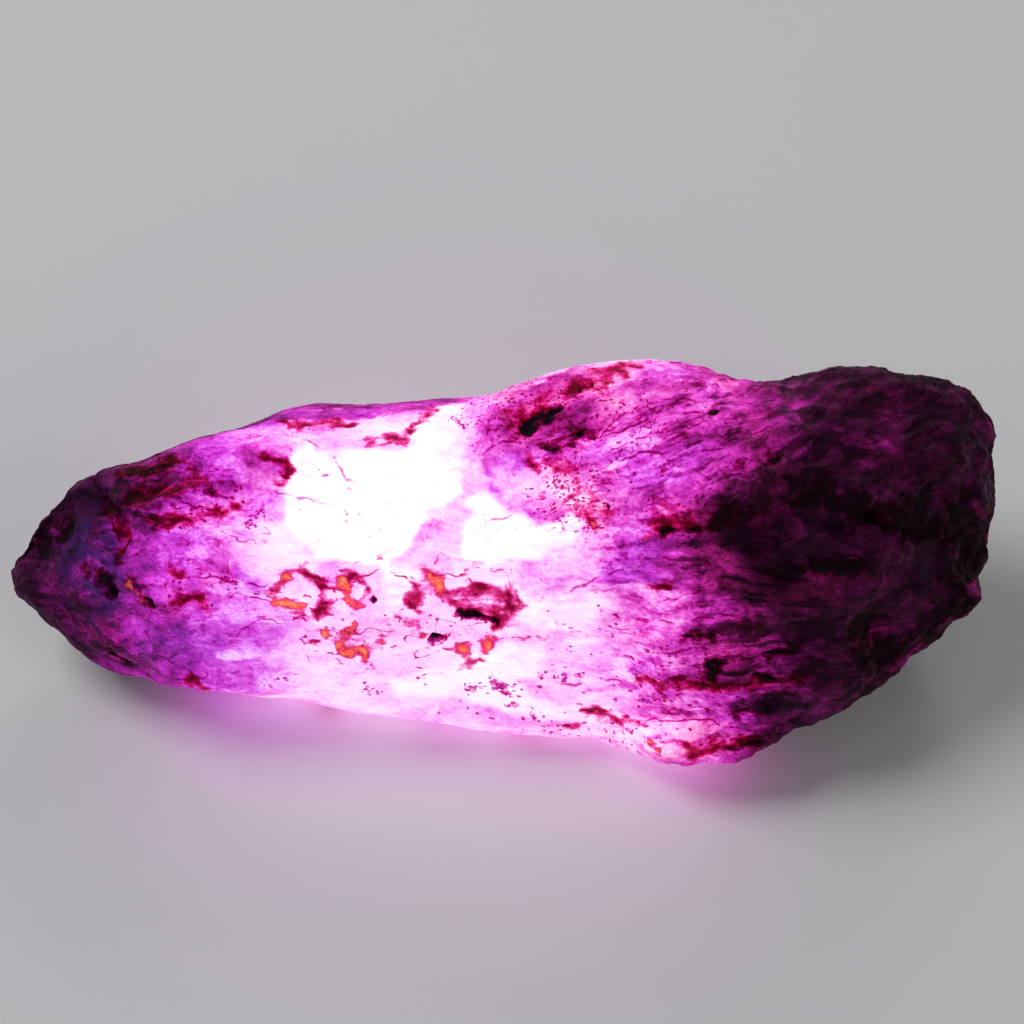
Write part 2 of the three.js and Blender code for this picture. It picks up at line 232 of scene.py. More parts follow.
on_front = soft_step(normals[:, 2], 0.0, 0.35)
on_back = soft_step(-normals[:, 2], 0.0, 0.35)
ragged = places[:, :2] + (0.30 * push(1.3, 2.0) + 0.20 * push(0.45, 7.0))[:, :2]
print("points in front and behind:", int(on_front.sum()), int(on_back.sum()))


# %% Strokes and blots
def side_of(line):
    """Distance to a line of points, below 0 on its right hand."""
    signed = np.full(len(ragged), 99.0)
    for start, end in zip(line, line[1:]):
        start, run = np.array(start), np.array(end) - np.array(start)
        offset = ragged - start
        share = np.clip(offset @ run / (run @ run), 0, 1)
        away = np.linalg.norm(offset - share[:, None] * run, axis=1)
        away *= np.where(run[0] * offset[:, 1] < run[1] * offset[:, 0], -1, 1)
        signed = np.where(np.abs(away) < np.abs(signed), away, signed)
    return signed


def distance_to(line):
    return np.abs(side_of(line))


uneven = 1 + 0.8 * clouds_of(places / 0.8 + 4.4, 2)


NOT_HERE = -3.0  # further outside a line than any noise reaches


def strokes(lines):
    """Lines of uneven width, each a half-width and its points."""
    value = np.full(len(places), NOT_HERE)
    for width, line in lines:
        value = np.maximum(value, uneven - distance_to(line) / width)
    return value


def blot(centre, radii, turn=0.0):
    """1 in the middle of an ellipse, 0 on its edge and below 0 outside it."""
    offset = ragged - np.array(centre)
    turned = np.stack([
        offset[:, 0] * math.cos(turn) + offset[:, 1] * math.sin(turn),
        offset[:, 1] * math.cos(turn) - offset[:, 0] * math.sin(turn),
    ], axis=1)
    return 1 - np.linalg.norm(turned / np.array(radii), axis=1)


def inside(outline, edge):
    """1 inside a closed outline and 0 outside it, changing over edge millimetres."""
    closed = outline + outline[:1]
    within = np.zeros(len(ragged), bool)
    for (x0, y0), (x1, y1) in zip(closed, closed[1:]):
        if y0 != y1:
            crosses = (y0 > ragged[:, 1]) != (y1 > ragged[:, 1])
            border = x0 + (ragged[:, 1] - y0) * (x1 - x0) / (y1 - y0)
            within ^= crosses & (ragged[:, 0] < border)
    away = distance_to(closed)
    return soft_step(np.where(within, away, -away), -edge / 2, edge / 2)


print("width of a stroke, times:", uneven.min().round(2), "to", uneven.max().round(2))

# %% [markdown]
# ## What is on the broad face
#
# Everything that can be told apart on the face gets its own short list, in millimetres
# along and across the face. A line is a half-width and the points that it runs through.
# First the black: crevices that no light leaves, and inclusions, the widest at the blunt end.

# %% Black crevices and inclusions
BLACK = [
    (0.37, [(0.8, 6.4), (1.3, 6.7), (1.8, 7.0), (2.4, 7.3), (2.7, 7.6)]),
    (0.32, [(1.9, 5.8), (2.6, 5.8), (3.4, 5.9)]), (0.32, [(3.7, 6.0), (4.7, 6.3)]),
    (0.10, [(4.6, 9.1), (4.0, 8.6)]), (0.11, [(10.5, 7.6), (11.1, 7.7)]),
    (0.19, [(8.2, 1.4), (8.8, 1.3)]), (0.13, [(9.4, 1.3), (9.9, 1.4)]),
    (0.12, [(10.4, 1.4), (10.9, 1.5)]), (0.16, [(5.3, 2.4), (5.4, 2.6)]),
    (0.46, [(13.8, 5.0), (14.1, 5.0)]), (0.24, [(14.4, 4.0), (14.7, 3.9)]),
    (0.22, [(15.5, 4.4), (15.6, 4.4)]), (0.34, [(16.3, 3.6), (16.6, 3.7)]),
    (0.90, [(15.6, 3.1), (17.1, 2.8), (18.5, 2.3), (20.1, 2.3), (21.8, 3.0)]),
    (1.10, [(20.7, 1.9), (22.3, 1.4)]), (0.50, [(14.2, -0.6), (15.8, -0.4), (18.1, -0.3)]),
    (1.30, [(23.7, 1.9), (24.9, 1.4), (24.4, 0.6)]), (0.80, [(23.3, -0.6), (24.9, -1.1)]),
    (1.00, [(18.7, -3.7), (19.2, -3.9)]), (0.70, [(18.3, -5.3), (19.5, -5.3), (20.4, -5.0)]),
    (0.80, [(21.3, -5.0), (22.4, -4.4)]), (0.80, [(22.9, -3.0), (24.0, -2.6)]),
    (0.34, [(10.5, -5.3), (11.2, -5.4), (10.8, -5.9)]), (0.20, [(9.0, -4.0), (10.8, -3.9)]),
    (0.38, [(13.3, -4.9), (15.0, -4.9)]), (0.34, [(13.1, -6.2), (14.3, -6.3)]),
    (0.24, [(11.8, -8.1), (13.9, -8.1)]), (0.27, [(-2.2, -2.9), (-1.2, -3.1), (-0.3, -3.4)]),
    (0.30, [(-3.5, -4.2), (-3.3, -4.2)]), (0.15, [(-6.7, -2.2), (-6.6, -2.3)]),
    (0.32, [(-15.2, 3.3), (-14.9, 3.2)]), (0.45, [(-20.7, -1.2), (-20.5, -2.0)]),
    (0.16, [(-18.6, -2.0), (-18.1, -2.5)]), (0.90, [(-25.0, 0.8), (-24.2, 2.0)]),
    (0.40, [(-23.1, 1.0), (-22.7, 2.2)]), (0.20, [(-20.6, -4.9), (-19.7, -5.7)]),
]
print("black lines:", len(BLACK))

# %% [markdown]
# Iron has stained the seams red-brown, and round the small pits in the middle there are orange
# crusts. Crusts stand on the rims of their pits, so both are listed together.

# %% Rust, crusts and pits
RUST = [
    (0.43, [(-10.3, -0.8), (-9.8, -0.9), (-9.3, -1.5), (-9.3, -2.0), (-9.1, -2.4), (-9.6, -3.1)]),
    (0.25, [(-8.4, -1.3), (-7.6, -0.9), (-7.0, -1.7)]),
    (0.39, [(-4.6, -1.4), (-4.8, -2.1), (-4.5, -2.6)]),
    (0.43, [(-2.6, -2.3), (-0.9, -1.6), (0.3, -2.0), (0.6, -2.6), (-0.4, -3.7)]),
    (0.40, [(-2.2, -2.7), (-0.4, -2.8)]), (0.25, [(-5.5, -3.0), (-5.0, -3.4), (-4.3, -3.5)]),
    (0.55, [(-20.2, 2.5), (-18.2, 3.4), (-16.6, 3.9), (-15.7, 4.1)]),
    (0.39, [(-17.8, 1.9), (-15.8, 2.1), (-13.7, 2.7)]),
    (0.58, [(-19.7, 4.4), (-18.4, 4.5), (-17.3, 4.8)]),
    (0.33, [(-16.9, -2.4), (-15.7, -2.1), (-15.4, -2.6)]), (0.39, [(-21.8, -0.6), (-21.4, -0.9)]),
    (0.28, [(-17.1, -0.7), (-16.8, -0.9)]), (0.43, [(-20.0, 2.2), (-19.5, 1.1), (-19.8, -0.2)]),
    (0.27, [(4.2, -8.1), (5.8, -8.5), (7.4, -8.6)]), (0.20, [(3.0, -9.0), (4.0, -8.9)]),
    (0.47, [(9.9, -9.9), (11.5, -9.8), (13.0, -9.6)]), (0.19, [(7.4, -1.4), (8.4, -1.3)]),
    (0.24, [(-7.0, 6.1), (-5.1, 6.2), (-4.1, 7.0), (-3.5, 7.8)]),
    (0.21, [(-11.8, 6.9), (-10.7, 6.7), (-8.2, 7.0), (-7.8, 6.9)]),
    (0.25, [(1.2, 5.5), (1.5, 5.0), (1.9, 4.4)]), (0.18, [(2.6, 4.1), (3.5, 3.1), (4.5, 1.9)]),
    (0.26, [(-12.4, 5.3), (-11.1, 5.0), (-11.0, 4.4), (-11.5, 3.9)]),
    (0.33, [(-16.3, -6.4), (-15.6, -6.8)]),
    (0.45, [(1.0, 6.8), (2.4, 8.0), (4.4, 8.9), (6.6, 9.9)]),
    (0.47, [(8.0, 1.6), (10.6, 1.9), (13.0, 2.3)]),
    (0.35, [(7.0, -6.4), (12.0, -6.6), (15.6, -6.2)]),
]
AMBER = [
    (0.38, [(-11.1, -1.1), (-11.9, -1.8), (-11.6, -2.4), (-10.5, -2.5)]),
    (0.30, [(-8.4, -1.3), (-8.0, -2.0), (-7.6, -2.3)]), (0.26, [(-9.1, -3.8), (-9.0, -4.0)]),
    (0.29, [(-7.8, -3.4), (-7.9, -4.0), (-8.2, -4.7), (-7.6, -4.8), (-7.1, -4.9), (-7.2, -5.2)]),
    (0.27, [(-6.2, -4.2), (-6.0, -4.8)]), (0.42, [(-4.1, -0.6), (-3.7, -1.1), (-3.2, -1.4)]),
    (0.21, [(-4.2, -3.7), (-4.2, -3.9)]),
    (0.36, [(-2.0, -4.8), (-1.7, -5.5), (-1.1, -5.3), (-0.9, -4.5)]),
    (0.16, [(4.6, 1.9), (4.8, 1.6)]), (0.20, [(7.3, 1.2), (7.8, 1.2)]),
    (0.22, [(7.8, -9.6), (8.1, -9.8)]), (0.30, [(-19.2, -1.6), (-18.8, -2.0)]),
]
PITS = [
    ((-10.5, -1.7), 0.75), ((-7.8, -1.8), 0.5), ((-1.4, -4.5), 0.7), ((-3.5, -4.2), 0.4),
    ((-20.5, -1.9), 0.6),
]
print("rust, crusts, pits:", len(RUST), len(AMBER), len(PITS))

# %% [markdown]
# Thin cracks have no width of their own, so each is only its points. Marks are small purple
# spots, where something dark lies a little below the surface.

# %% Cracks and marks
CRACKS = [
    [(-21.6, 4.2), (-21.1, 3.2), (-20.6, 2.1), (-20.0, 1.2), (-19.7, 0.2)],
    [(-20.9, 3.0), (-20.3, 2.0), (-19.9, 1.0)], [(0.6, 6.2), (-0.4, 5.8), (-1.1, 5.2)],
    [(-10.6, 6.2), (-9.8, 5.7), (-8.8, 5.2), (-7.8, 6.0), (-6.9, 6.3)],
    [(-8.8, 5.2), (-8.6, 4.8), (-7.9, 3.9)], [(-11.6, 3.3), (-10.1, 3.1), (-9.2, 2.9)],
    [(3.4, -1.7), (4.4, -1.3), (5.2, -0.9), (6.1, -0.6)], [(-0.6, 1.9), (0.1, 2.3), (0.6, 2.5)],
    [(4.3, 6.3), (5.5, 6.8), (6.5, 7.3), (7.8, 7.5)],
    [(4.7, 6.1), (6.2, 6.5), (7.7, 7.1), (8.3, 7.4)],
    [(5.5, 5.5), (6.9, 6.2), (8.4, 6.6), (9.4, 6.8)], [(7.3, 7.9), (9.0, 8.2), (11.0, 7.8)],
    [(8.6, 5.9), (9.4, 6.5), (10.2, 7.0)], [(9.2, 7.4), (10.6, 7.6), (12.0, 8.2)],
    [(3.2, 8.0), (4.4, 8.6), (5.6, 8.9)], [(6.0, 5.0), (7.4, 5.4), (8.4, 5.3)],
    [(10.2, 5.4), (11.8, 6.2), (13.4, 6.5)], [(11.5, 4.4), (13.0, 5.0), (14.2, 5.4)],
    [(3.2, -6.6), (5.0, -6.5), (7.5, -6.3), (9.6, -6.1)], [(6.4, -3.2), (8.6, -3.3), (11.4, -3.0)],
    [(4.1, -8.2), (6.6, -8.5), (9.4, -8.3), (12.0, -8.8)],
    [(7.6, -5.0), (9.6, -4.9), (12.0, -5.2), (14.6, -5.0)],
    [(8.4, -2.0), (10.6, -1.8), (13.0, -2.2)], [(-16.6, 2.9), (-15.0, 2.4), (-13.4, 2.6)],
    [(-19.0, 3.6), (-17.4, 4.3), (-15.6, 4.6), (-13.9, 4.5)],
    [(-17.0, -1.2), (-15.4, -0.9), (-13.6, -1.4), (-12.2, -1.3)],
    [(-14.2, -2.2), (-12.8, -2.0), (-11.6, -2.4)],
]
MARKS = [
    (0.16, [(-4.4, -6.2), (-4.1, -6.4)]), (0.15, [(-7.1, -7.0), (-6.7, -7.2)]),
    (0.16, [(-1.8, -6.9), (-1.2, -6.9)]), (0.22, [(-0.6, -6.6), (-0.1, -6.7), (0.4, -7.0)]),
    (0.16, [(0.2, -7.6), (0.9, -7.7)]), (0.20, [(1.5, -8.1), (1.7, -8.4)]),
    (0.12, [(1.7, -6.2), (2.1, -6.2)]), (0.18, [(3.1, -6.1), (3.3, -6.3)]),
    (0.15, [(3.7, -6.1), (3.9, -6.1)]), (0.12, [(3.0, -8.9), (4.0, -9.0)]),
    (0.11, [(3.2, -4.0), (3.3, -4.6)]), (0.15, [(6.3, -5.4), (6.9, -5.4)]),
    (0.12, [(5.7, -2.9), (6.0, -3.1)]), (0.15, [(8.6, -4.9), (9.2, -5.0)]),
    (0.17, [(7.7, -7.4), (8.4, -7.5)]), (0.15, [(10.0, -7.2), (10.9, -7.3)]),
    (0.12, [(-8.0, 2.1), (-7.9, 2.0)]), (0.09, [(-9.1, 4.2), (-9.0, 4.2)]),
    (0.16, [(-14.3, -1.2), (-13.7, -1.6)]), (0.14, [(-13.2, 1.8), (-12.6, 2.3)]),
    (0.14, [(-12.7, -3.2), (-12.2, -3.4)]), (0.14, [(6.2, 5.0), (6.8, 5.2)]),
    (0.14, [(8.0, 4.6), (8.6, 4.7)]), (0.17, [(11.4, 4.6), (12.2, 4.7)]),
    (0.15, [(9.4, 9.1), (10.0, 9.0)]), (0.13, [(5.0, 8.0), (5.6, 8.2)]),
    (0.13, [(6.9, 9.1), (7.5, 9.2)]), (0.15, [(-2.3, 7.0), (-2.0, 6.7)]),
    (0.12, [(-0.8, 6.4), (-0.3, 6.5)]), (0.16, [(-12.2, -6.6), (-11.6, -6.5)]),
]
print("cracks and marks:", len(CRACKS), len(MARKS))

# %% [markdown]
# The colour doesn't only run along the stone. Some patches are paler or deeper than what is
# round them, such as the white middle, with an edge that can be followed. The white middle is
# painted light coming through the stone. Each has the change in depth of colour, the width of
# its edge, and its outline.

# %% Paler and deeper patches
# The first two patches, the white middle, are painted light coming through the stone.
PATCHES = [
    (-0.21, 0.45, [(-11.3, 1.6), (-11.3, 3.0), (-11.1, 4.3), (-10.8, 5.3), (-10.1, 5.7),
        (-9.5, 5.4), (-8.8, 4.9), (-8.2, 5.4), (-6.6, 5.7), (-5.3, 5.4), (-4.4, 5.9), (-3.5, 5.8),
        (-3.3, 5.0), (-2.2, 4.4), (-2.1, 3.4), (-2.8, 2.7), (-4.0, 2.4), (-3.9, 1.9), (-4.6, 0.9),
        (-5.3, 0.1), (-6.0, -0.3), (-7.2, -0.2), (-9.6, 0.0), (-9.9, 0.7), (-10.9, 1.1)]),
    (-0.17, 0.45, [(-2.0, -0.1), (-2.0, 1.6), (-1.5, 2.2), (-1.8, 2.9), (-0.9, 3.3), (-0.2, 2.9),
        (0.5, 2.2), (1.8, 1.8), (3.4, 2.2), (4.1, 1.8), (3.6, 0.9), (2.3, 0.2), (1.9, -0.2),
        (0.0, -0.2)]),
    (-0.10, 0.60, [(-4.3, 7.2), (-3.0, 8.0), (-1.9, 8.0), (-2.1, 6.8), (-2.0, 5.2), (-2.2, 4.4),
        (-3.3, 5.0), (-3.5, 5.8), (-4.8, 6.2)]),
    (-0.10, 0.50, [(-14.5, 1.9), (-12.0, 1.8), (-11.2, 1.2), (-10.0, 0.6), (-9.8, -0.1),
        (-9.3, -1.0), (-11.2, -0.9), (-13.0, -0.9), (-14.0, 0.2)]),
    (-0.12, 0.50, [(-5.9, -6.4), (-2.0, -5.3), (-0.2, -4.5), (2.0, -4.5), (2.2, -5.9), (0.4, -6.6),
        (2.6, -7.6), (3.9, -8.4), (1.4, -8.5), (-2.2, -7.4), (-5.5, -7.2)]),
    (-0.12, 0.50, [(0.8, -1.6), (1.8, -2.0), (4.6, -1.9), (5.2, -2.7), (4.2, -3.6), (2.0, -3.8),
        (0.9, -3.2)]),
    (-0.10, 0.40, [(-6.2, -0.3), (-4.2, -0.6), (-5.0, -2.0), (-5.8, -2.4), (-6.4, -1.4)]),
    (-0.04, 1.50, [(-13.0, -3.6), (-8.5, -5.0), (-7.0, -6.5), (-8.0, -7.8), (-13.0, -7.2),
        (-14.2, -5.5)]),
    (0.12, 0.50, [(-24.0, 4.0), (-21.7, 4.4), (-20.8, 2.1), (-20.2, 0.6), (-22.0, 1.2),
        (-24.6, 2.4)]),
    (0.06, 0.35, [(-0.9, 5.9), (0.1, 5.8), (0.9, 5.6), (1.3, 4.8), (1.7, 4.1), (2.6, 3.2),
        (3.6, 2.4), (2.9, 2.0), (1.8, 1.9), (0.7, 2.4), (0.1, 3.0), (-0.3, 3.8), (-0.9, 4.7)]),
    (0.10, 0.35, [(-13.0, 5.4), (-12.3, 5.5), (-11.2, 5.2), (-10.9, 4.5), (-11.3, 3.9),
        (-12.3, 3.9), (-12.9, 4.5)]),
    (0.08, 0.30, [(-4.5, 1.6), (-3.9, 1.9), (-3.0, 1.9), (-3.0, 1.2), (-3.8, 0.5), (-4.7, 0.1)]),
    (0.20, 0.40, [(9.0, -3.4), (12.6, -3.2), (14.6, -3.7), (13.2, -4.2), (10.4, -4.1)]),
    (0.18, 0.40, [(6.5, -6.1), (10.5, -5.7), (14.0, -6.0), (12.0, -6.7), (8.6, -6.6)]),
    (0.20, 0.40, [(11.5, -7.4), (14.5, -7.2), (16.5, -7.6), (14.0, -8.3), (11.9, -8.1)]),
]
print("patches:", len(PATCHES))

# %% [markdown]
# Areas where rust has soaked in, each with its strength and its outline, and the three long
# edges that the solid has only roughly: the bevel, the rim of a shell-shaped break, and the
# ridge on top of the hump.

# %% Stained areas and long edges
STAINS = [
    (0.46, [(-4.4, -0.9), (-3.5, -0.9), (-3.0, -1.5), (-0.9, -1.3), (0.5, -1.9), (0.7, -2.7),
        (-0.1, -3.7), (-1.1, -3.4), (-2.0, -3.1), (-2.6, -2.4), (-3.8, -2.2), (-4.5, -2.9),
        (-4.9, -2.0)]),
    (0.50, [(-19.6, -0.9), (-18.9, -1.0), (-18.0, -2.0), (-17.8, -2.7), (-18.5, -2.8),
        (-19.3, -1.9)]),
    (0.62, [(-10.1, -0.8), (-9.6, -0.7), (-9.1, -1.5), (-9.0, -2.2), (-8.6, -2.6), (-9.3, -3.2),
        (-9.8, -3.0), (-9.5, -2.2), (-9.6, -1.4)]),
    (0.45, [(-8.3, -4.0), (-7.5, -3.9), (-7.0, -4.6), (-6.4, -4.1), (-5.9, -4.2), (-6.0, -5.0),
        (-6.9, -5.2), (-7.8, -5.1)]),
    (0.36, [(-0.4, 7.3), (2.0, 8.6), (4.6, 9.5), (6.8, 9.8), (4.5, 8.6), (3.0, 8.0), (2.9, 7.3),
        (1.4, 6.1), (0.2, 6.3)]),
    (0.26, [(1.3, 5.3), (3.4, 5.2), (4.6, 3.4), (5.9, 2.2), (5.0, 1.2), (3.6, 2.0), (2.2, 3.6)]),
    (0.26, [(7.2, 2.6), (9.4, 2.9), (12.6, 2.6), (12.8, 1.5), (9.6, 1.2), (7.4, 1.6)]),
]
BEVEL = [(-19.0, 4.9), (-16.0, 6.0), (-12.0, 6.8), (-8.0, 6.9), (-4.0, 7.4), (-1.0, 8.2)]
SHELL_RIM = [(-0.9, 4.7), (-0.4, 3.6), (0.3, 2.7), (1.6, 2.1), (2.9, 2.3)]
TOP_RIDGE = [(0.9, 8.3), (2.2, 8.9), (4.1, 9.7), (6.2, 10.2), (7.6, 10.4)]
print("stained areas:", len(STAINS))

# %% [markdown]
# The back of the stone is the same stuff, so it gets seams and inclusions too. They are drawn
# at random with a fixed seed, and run along the stone as the ones in front do, more of them
# towards the dark blunt end.


# %% Seams and inclusions for the back
def scattered(count, width, length, seed):
    """Short bent lines all over the back, each a half-width and its points."""
    draw = np.random.default_rng(seed)
    lines = []
    for _ in range(count):
        at = np.array([-23 + 47 * draw.beta(1.5, 1.1), draw.uniform(-8, 7)])
        line, heading = [at], draw.normal(0.1, 0.35)
        for _ in range(3):
            heading += draw.normal(0, 0.3)
            step = length * draw.uniform(0.2, 0.5)
            at = at + step * np.array([math.cos(heading), math.sin(heading)])
            line.append(at)
        lines.append((width * draw.uniform(0.6, 1.5), line))
    return lines


def both_sides(front, back):
    """front's value on the broad face, back's behind, and fading where they meet."""
    value = np.where(on_front > 0, front, np.where(on_back > 0, back, NOT_HERE))
    return value - 1.2 * (1 - soft_step(np.abs(normals[:, 2]), 0.0, 0.22))


def nearest_side(lines):
    """Distance to the nearest of the lines, with the sign of the side of it."""
    sides = np.array([side_of(line) for line in lines])
    return np.take_along_axis(sides, np.abs(sides).argmin(axis=0)[None], axis=0)[0]


def laid_out(front, **back):
    """Listed lines in front, and scattered ones behind."""
    return both_sides(strokes(front), strokes(scattered(**back)))


CRUST_WIDTH = 0.85
MARK_AT_MOST = 0.12  # a mark never gets as dark as a black line
RUSTY_RIM = 0.25  # how far rust reaches past a crust
black = laid_out(BLACK, count=26, width=0.36, length=1.6, seed=11)
rust = laid_out(RUST, count=30, width=0.30, length=3.4, seed=12)
crusts = [(CRUST_WIDTH * width, line) for width, line in AMBER]
amber = laid_out(crusts, count=6, width=0.30, length=1.2, seed=13)
mark = laid_out(MARKS, count=40, width=0.28, length=0.8, seed=15)
back_cracks = [line for _, line in scattered(count=12, width=1, length=5.0, seed=14)]
crack_side = np.where(on_front > 0, nearest_side(CRACKS), nearest_side(back_cracks))
black = np.maximum(black, np.minimum(mark, MARK_AT_MOST))
rust = np.maximum(rust, amber + RUSTY_RIM)
print("share of the surface that is black:", round(float((black > 0).mean()), 3))

# %% [markdown]
# ## The fine surface
#
# Broken corundum has small flat chips with sharp edges, long striae where it parts along its
# layers, and ragged ribs where it grew. A Voronoi pattern gives the chips: the square of the
# distance to the nearest cell centre flattens each cell and leaves a ridge round it. Noise that
# is stretched along the layers gives striae and ribs. Every point is then moved along its
# normal. A Displace modifier can do that too, but here each relief has its own place.


# %% Directions of the layers
# On the raised right part the layers climb to the right, and below it they run level. The
# first of the three values runs along them, the second across them, the third into the stone.
CLIMB, SLANT, HUMP_AT = 0.40, 0.3, 7
climb = CLIMB * soft_step(v, -1.5, 4.5) * soft_step(u, -4, 2)
along = np.stack([u + SLANT * v, v - climb * (u - HUMP_AT), w], axis=1)
along += 0.40 * push(2.5, 3.3) + 0.12 * push(0.5, 8.8)
print("steepest climb, mm in a mm:", climb.max().round(2))


# %% Chips and ribs
def chips(size, seed):
    """The height of flat chips, and 1 in the creases between them."""
    found = [
        noise.voronoi(spot, distance_metric="DISTANCE_SQUARED")[0]
        for spot in (along / np.array(size) + seed).tolist()
    ]
    near = np.array([distances[0] for distances in found])
    second = np.array([distances[1] for distances in found])
    crease = 1 - soft_step(np.sqrt(second) - np.sqrt(near), 0, 0.15)
    return near - 0.3 - 0.12 * crease, crease


def ribs(size, seed):
    """The height of ribs, which stand where the noise passes through 0."""
    return 0.3 - np.abs(clouds_of(along / np.array(size) + seed, 3))


LARGE_CHIP, SMALL_CHIP = 0.34, 0.13  # mm
right_half = soft_step(u, 2, 12)
left_end = 1 - soft_step(u, -21, -13)
rough = 0.55 + 0.45 * right_half + 0.75 * left_end
large, large_crease = chips(size=(2.9, 1.9, 2.0), seed=3.1)
small, small_crease = chips(size=(1.2, 0.75, 0.8), seed=9.7)
relief = rough * (LARGE_CHIP * large + SMALL_CHIP * small)
relief += (0.10 + 0.20 * right_half) * ribs(size=(3.4, 0.75, 1.2), seed=1.3)
relief += (0.05 + 0.08 * right_half) * ribs(size=(1.2, 0.30, 0.5), seed=6.2)
print("fine relief, mm:", relief.min().round(2), "to", relief.max().round(2))

# %% [markdown]
# Then the lines that were laid out: crevices go in, pits go in inside their crusted rims, and
# the bevel, the shell-shaped break and the top ridge get their crisp edges back.

# %% Crevices, pits, rims and edges
CREVICE_DEPTH, CRACK_DEPTH, SEAM_DEPTH, PIT_DEPTH = 0.20, 0.08, 0.08, 0.25  # mm
CRUST_RISE, EDGE_WIDTH = 0.10, 0.40
EDGES = ((TOP_RIDGE, 0.16), (BEVEL, 0.10), (SHELL_RIM, -0.12))  # and how far each stands out
relief -= CREVICE_DEPTH * soft_step(black, 0, 0.9)
relief -= CRACK_DEPTH * (1 - soft_step(np.abs(crack_side), 0, 0.2))
relief -= SEAM_DEPTH * soft_step(rust, 0.2, 1)
relief += CRUST_RISE * soft_step(amber, 0, 0.7)
for centre, radius in PITS:
    relief -= PIT_DEPTH * on_front * soft_step(blot(centre, (radius, radius)), 0, 0.6)
for line, rise in EDGES:
    relief += rise * on_front * soft_step(1 - distance_to(line) / EDGE_WIDTH, 0, 1)
print("whole relief, mm:", relief.min().round(2), "to", relief.max().round(2))

# %% [markdown]
# The flat break underneath stays as it is, so the relief fades in just above it and no point
# may go below the floor. The normals are turned back from the face's directions first.

# %% Move the points
spots = np.empty(len(places) * 3)
stone.data.vertices.foreach_get("co", spots)
spots = spots.reshape(-1, 3)
outward = normals @ np.array(TO_FACE)
off_base = soft_step(spots[:, 2] / MM, 0.05, 0.9)
moved = spots + outward * (relief * off_base * MM)[:, None]
moved[:, 2] = np.maximum(moved[:, 2], 0)
stone.data.vertices.foreach_set("co", moved.ravel())
stone.data.update()
select_only(stone)
bpy.ops.object.shade_smooth_by_angle(angle=math.radians(35))
print("stone box, mm:", [round(side, 1) for side in np.ptp(moved, axis=0) / MM])

# %% [markdown]
# ## Where each colour is
#
# The crystal's colour is a matter of how much pink and purple lies in the way of the light:
# hardly any in the middle, a lot at the ends. It carries painted light too: the nearly white
# middle is light coming through the stone, and the dark ends are partly painted shade.
# That one number, the depth of colour with its painted light, is read from a curve along the
# stone and then changed by areas that are deeper or paler.

# %% Depth of colour along the stone, with painted light in the middle
# The pale middle of this curve is painted light, and its dark ends are partly painted shade.
ALONG = [-26, -22.5, -20.5, -17.5, -14.5, -11.5, -8.5, -0.5, 3.5, 6.5, 9.5, 12.5, 15.5, 18.5, 26]
DEPTH_AND_LIGHT = [1.0, 0.89, 0.78, 0.53, 0.32, 0.20, 0.15, 0.14, 0.19, 0.33, 0.57, 0.82, 0.95, 0.98, 1.0]
# The valley at v = 1.5 is darkest; above and below it the pale part reaches further right.
reach = 3.0 * soft_step(v, 1.5, 7.5) + 2.6 * soft_step(-v, -1.0, 6.5)
depth = np.interp(u - reach * soft_step(u, 0, 5), ALONG, DEPTH_AND_LIGHT)
# Wide soft areas: the change in depth, the middle, the two radii and the turn.
DEEPER = [
    (0.30, (1.9, 7.0), (5.0, 2.6), 0.45), (0.12, (-16.5, 4.0), (6.0, 2.6), 0.2),
    (0.12, (6.6, 6.4), (5.6, 4.0), 0.3), (0.13, (14.0, 2.2), (4.4, 3.4), 0.0),
    (0.05, (11.5, 2.0), (3.2, 3.0), 0.0), (0.07, (21.0, -1.5), (4.5, 4.5), 0.0),
    (-0.14, (9.5, -9.2), (4.6, 1.5), 0.03), (-0.08, (-21.0, -2.6), (4.4, 2.6), -0.4),
]
for change, centre, radii, turn in DEEPER:
    depth += change * soft_step(blot(centre, radii, turn), 0, 0.55)
for change, edge, outline in PATCHES:
    depth += change * inside(outline, edge) * (on_front > 0)
print("depth of colour:", depth.min().round(2), "to", depth.max().round(2))

# %% [markdown]
# Edges and sides change it too. The rim of the shell-shaped break and the bevel are deeper, the
# bevel less so where it turns to the back. The middle of the back and the blunt end face are
# paler. Behind the ridge of the hump it is deeper, apart from a thin pale line close to it,
# which is painted light shining through that edge.
# Clouds come on top, and the creases between chips are made darker, which is painted shade.
# Even the dark end stops a little short of the deepest colour, so that its mottles still show.

# %% Edges, sides and clouds
SHELL_EDGE = 0.35  # mm
DEEPEST = 0.97
depth += 0.16 * soft_step(1 - distance_to(SHELL_RIM) / SHELL_EDGE, 0, 1) * on_front
depth -= 0.24 * soft_step(blot((-5.0, 0.0), (15.0, 7.0)), 0, 0.5) * on_back
depth -= 0.12 * soft_step(normals[:, 0], 0.55, 0.85) * right_half
bevel_line = np.interp(u, *np.array(BEVEL).T)
on_bevel = soft_step(v - bevel_line, 0.0, 0.35)
behind = soft_step(-normals[:, 2], 0.0, 0.5)
depth += (0.38 - 0.26 * behind) * on_bevel * soft_step(-1.0 - u, 0, 1.5)
depth += 0.16 * soft_step(blot((1.8, 10.2), (5.6, 2.4), 0.42), 0, 0.5)
# Painted light: a thin pale line behind the ridge, where light comes through the edge.
depth -= 0.16 * soft_step(blot((2.4, 9.6), (4.0, 0.5), 0.42), 0, 0.5)
depth += 0.13 * clouds_of(places / np.array((3.4, 2.2, 2.2)) + 5.5, 2) * soft_step(depth, 0.0, 0.3)
# Painted shade: darker colour in the creases between chips.
depth += (0.08 * large_crease + 0.09 * small_crease) * soft_step(depth, 0.1, 0.3)
depth = np.minimum(depth, DEEPEST)
print("depth of colour:", depth.min().round(2), "to", depth.max().round(2))

# %% [markdown]
# Away from its lines the rust is below 0. In deep colour it is so little below that the noise
# in the material still makes a spot of it here and there, and in the stained areas it is above.

